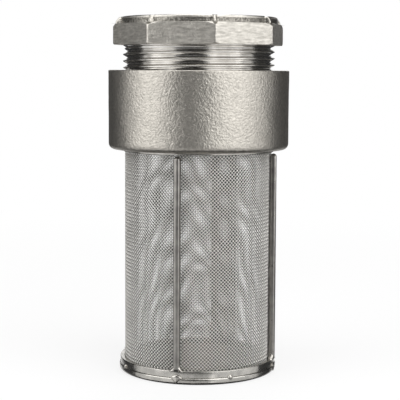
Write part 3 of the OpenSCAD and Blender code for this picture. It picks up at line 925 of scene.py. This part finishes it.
def make_guide(look):
    """The cast three-armed guide with its bush."""
    columns = turn_angles(160)
    hub_r, bush_r = 6 * MM, 4.5 * MM
    hub_low = BUSH_LOW.z + 0.55 * MM
    arm_high = SHOULDER_Z - 0.04 * MM
    arm_low = arm_high - 3.95 * MM
    shape = Shape()
    rings = [
        (GUIDE_HIGH.x - 2.05 * MM, GUIDE_HIGH.x - 0.06 * MM, arm_low, arm_high),
        (bush_r + 0.05 * MM, hub_r, hub_low, GUIDE_HIGH.z),
        (bush_r + 0.05 * MM, 9.9 * MM, arm_low, arm_low + 1.9 * MM),
    ]
    for inner, outer, low, high in rings:
        r, z, _ = outline([
            (inner, low, 0, 1 * MM, 0), (outer, low, 0, 1 * MM, 0),
            (outer, high, 0, 1 * MM, 0), (inner, high, 0, 1 * MM, 0),
        ])
        shape.add_grid(around(r, z, columns), close_rows=True)
    for k in range(3):
        angle = math.radians(150 + 120 * k)
        half = 1.95 * MM
        top_half = half * 0.8
        section = np.array([
            (-half, arm_low), (half, arm_low), (top_half, arm_high), (-top_half, arm_high)])
        reach = np.array([hub_r - 1 * MM, GUIDE_HIGH.x - 0.6 * MM])
        points = np.zeros((2, 4, 3))
        points[..., 0] = section[None, :, 0]
        points[..., 1] = reach[:, None]
        points[..., 2] = section[None, :, 1]
        shape.add_grid(placed(points, angle, 0, 0), cap_rows=True)
    remeshed(shape, "cast_stem_guide", look["cast"], 0.33 * MM, ["stem_guide"], "cast_guide")
    bore = STEM_R + 0.06 * MM
    barrel_r, flange_top = bush_r - 0.02 * MM, hub_low - 0.03 * MM
    turned("flanged_bush", [
        (bore, BUSH_LOW.z, 0.2 * MM), (BUSH_HIGH.x, BUSH_LOW.z, 0.15 * MM),
        (BUSH_HIGH.x, flange_top, 0.1 * MM), (barrel_r, flange_top, 0),
        (barrel_r, BUSH_HIGH.z, 0.2 * MM), (bore, BUSH_HIGH.z, 0.3 * MM),
    ], look["ptfe"], "housing", "ptfe", ["guide_bush"], columns=96)


def open_ring(name, inner, outer, low, high, gap, angle, fillet, material, body, slot, nodes):
    """A ring with a gap cut through it at an angle."""
    r, z, _ = outline([
        (inner, low, fillet, 0, 0), (outer, low, fillet, 0, 0),
        (outer, high, fillet, 0, 0), (inner, high, fillet, 0, 0),
    ])
    half = gap / (inner + outer)
    angles = np.linspace(angle + half, angle + TAU - half, 160)
    grid = around(r, z, angles)
    shape = Shape().add_grid(grid, close_rows=True, close_columns=False, cap_columns=True)
    return shape.piece(name, material, body, slot, nodes)


def make_poppet(look):
    """The disc with its seal, retainer, stem and fasteners."""
    bore = STEM_R + 0.02 * MM
    body = "poppet"
    disc_r, disc_top = DISC_HIGH.x, DISC_HIGH.z
    dish = disc_top - 0.4 * MM
    turned("poppet_disc", [
        (bore, DISC_LOW.z, 0.1 * MM), (disc_r, DISC_LOW.z, 0.3 * MM), (disc_r, disc_top, 0.5 * MM),
        (disc_r - 2.4 * MM, disc_top, 0.3 * MM), (disc_r - 3.0 * MM, dish, 0.3 * MM),
        (8.5 * MM, dish, 0.4 * MM), (7.8 * MM, disc_top, 0.3 * MM), (bore, disc_top, 0.1 * MM),
    ], look["machined"], body, "turned_steel", ["valve_disc"])
    turned("seal_ring", [
        (bore, SEAL_LOW.z, 0.1 * MM), (SEAL_HIGH.x, SEAL_LOW.z, 0.3 * MM),
        (SEAL_HIGH.x, SEAL_HIGH.z, 0.3 * MM), (bore, SEAL_HIGH.z, 0.1 * MM),
    ], look["nitrile"], body, "nitrile", ["seat_seal"])
    turned("retainer_plate", [
        (bore, RETAINER_LOW.z, 0.1 * MM), (RETAINER_HIGH.x, RETAINER_LOW.z, 0.5 * MM),
        (RETAINER_HIGH.x, RETAINER_HIGH.z, 0.1 * MM), (bore, RETAINER_HIGH.z, 0.1 * MM),
    ], look["machined"], body, "turned_steel", ["seal_retainer"], columns=128)
    open_ring("split_washer", STEM_R + 0.1 * MM, WASHER_HIGH.y, WASHER_LOW.z, WASHER_HIGH.z,
              0.8 * MM, math.pi / 2, 0.15 * MM, look["spring"], body, "spring_steel", ["lock_washer"])
    make_nut(look, bore)
    collar_r = STEM_HIGH.x
    collar_low = disc_top + 0.02 * MM
    collar_high = collar_low + 1.48 * MM
    r, z, _ = outline([
        (0.02 * MM, STEM_LOW.z, 0, 0, 0), (STEM_R, STEM_LOW.z, 0.6 * MM, 1 * MM, 0),
        (STEM_R, collar_low, 0, 0, 0), (collar_r, collar_low, 0.1 * MM, 0, 0),
        (collar_r, collar_high, 0.3 * MM, 0, 0), (STEM_R, collar_high, 0.2 * MM, 1 * MM, 0),
        (STEM_R, STEM_HIGH.z, 0.8 * MM, 1 * MM, 0), (0.02 * MM, STEM_HIGH.z, 0, 0, 0),
    ], closed=False)
    shape = Shape().add_grid(around(r, z, turn_angles(64)), cap_rows=True)
    shape.piece("poppet_stem", look["machined"], body, "turned_steel", ["valve_stem"])


def make_nut(look, bore):
    """Hexagon nut with chamfered corners."""
    flat_r = NUT_HIGH.y
    corner_r = flat_r / math.cos(math.pi / 6)
    r, z, _ = outline([
        (bore, NUT_LOW.z, 0.3 * MM, 0, 0), (flat_r - 0.15 * MM, NUT_LOW.z, 0.1 * MM, 0.15 * MM, 0),
        (corner_r + 0.3 * MM, NUT_LOW.z + 0.7 * MM, 0, 0.6 * MM, 0),
        (corner_r + 0.3 * MM, NUT_HIGH.z - 0.7 * MM, 0, 0.15 * MM, 0),
        (flat_r - 0.15 * MM, NUT_HIGH.z, 0.1 * MM, 0, 0), (bore, NUT_HIGH.z, 0.3 * MM, 1 * MM, 0),
    ])
    angles = corner_angles(6, math.pi / 2)
    hexagon = polygon_radius(angles, flat_r, 6, math.pi / 2, 0.25 * MM)
    radius = spread(r, angles)
    clipped = smooth_less(radius, hexagon, 0.15 * MM)
    outer = r > flat_r - 0.4 * MM
    radius[outer] = clipped[outer]
    shape = Shape().add_grid(around(radius, z, angles), close_rows=True)
    shape.piece("hexagon_nut", look["machined"], "poppet", "turned_steel", ["stem_nut"])


def make_spring(look):
    """Conical spring with flat end turns."""
    wire_r = 0.55 * MM
    turns, dead = 4.5, 0.8
    wide, narrow = 14 * MM, 8 * MM
    low, high = SPRING_LOW.z + wire_r, SPRING_HIGH.z - wire_r
    share = np.linspace(0, 1, 217)
    rise = np.clip((share * turns - dead) / (turns - 2 * dead), 0, 1)
    r = wide + (narrow - wide) * share
    a = share * turns * TAU
    away = np.stack([np.cos(a), np.sin(a), np.zeros(len(a))], -1)
    centres = away * r[:, None]
    centres[:, 2] = low + (high - low) * rise
    turn = turn_angles(16)[None, :, None]
    across = np.cos(turn) * away[:, None, :] + np.sin(turn) * UP
    grid = centres[:, None, :] + wire_r * across
    shape = Shape().add_grid(grid, cap_rows=True)
    made = shape.piece("conical_spring", look["spring"], "housing", "spring_steel", ["valve_spring"])
    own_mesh(made)


def make_small_rings(look):
    """The gasket under the cap and the snap ring under the guide."""
    turned("flat_gasket", [
        (24.1 * MM, GASKET_LOW.z, 0.15 * MM), (GASKET_HIGH.x, GASKET_LOW.z, 0.15 * MM),
        (GASKET_HIGH.x, GASKET_HIGH.z, 0.15 * MM), (24.1 * MM, GASKET_HIGH.z, 0.15 * MM),
    ], look["ptfe"], "housing", "ptfe", ["cap_gasket"])
    open_ring("snap_ring", GUIDE_SEAT_R - 1 * MM, SNAP_HIGH.x, SNAP_LOW.z, SNAP_HIGH.z,
              9 * MM, math.pi, 0.15 * MM, look["spring"], "housing", "spring_steel", ["guide_snap_ring"])

# ---------------------------------------------------------------- everything

make_camera()
make_world()
make_lights()
make_floor()
finishes = make_materials()
make_body(finishes)
make_cap(finishes)
make_cloth(finishes)
make_bottom_cloth(finishes)
make_rings(finishes)
make_ribs(finishes)
make_welds(finishes)
make_guide(finishes)
make_small_rings(finishes)
make_poppet(finishes)
make_spring(finishes)
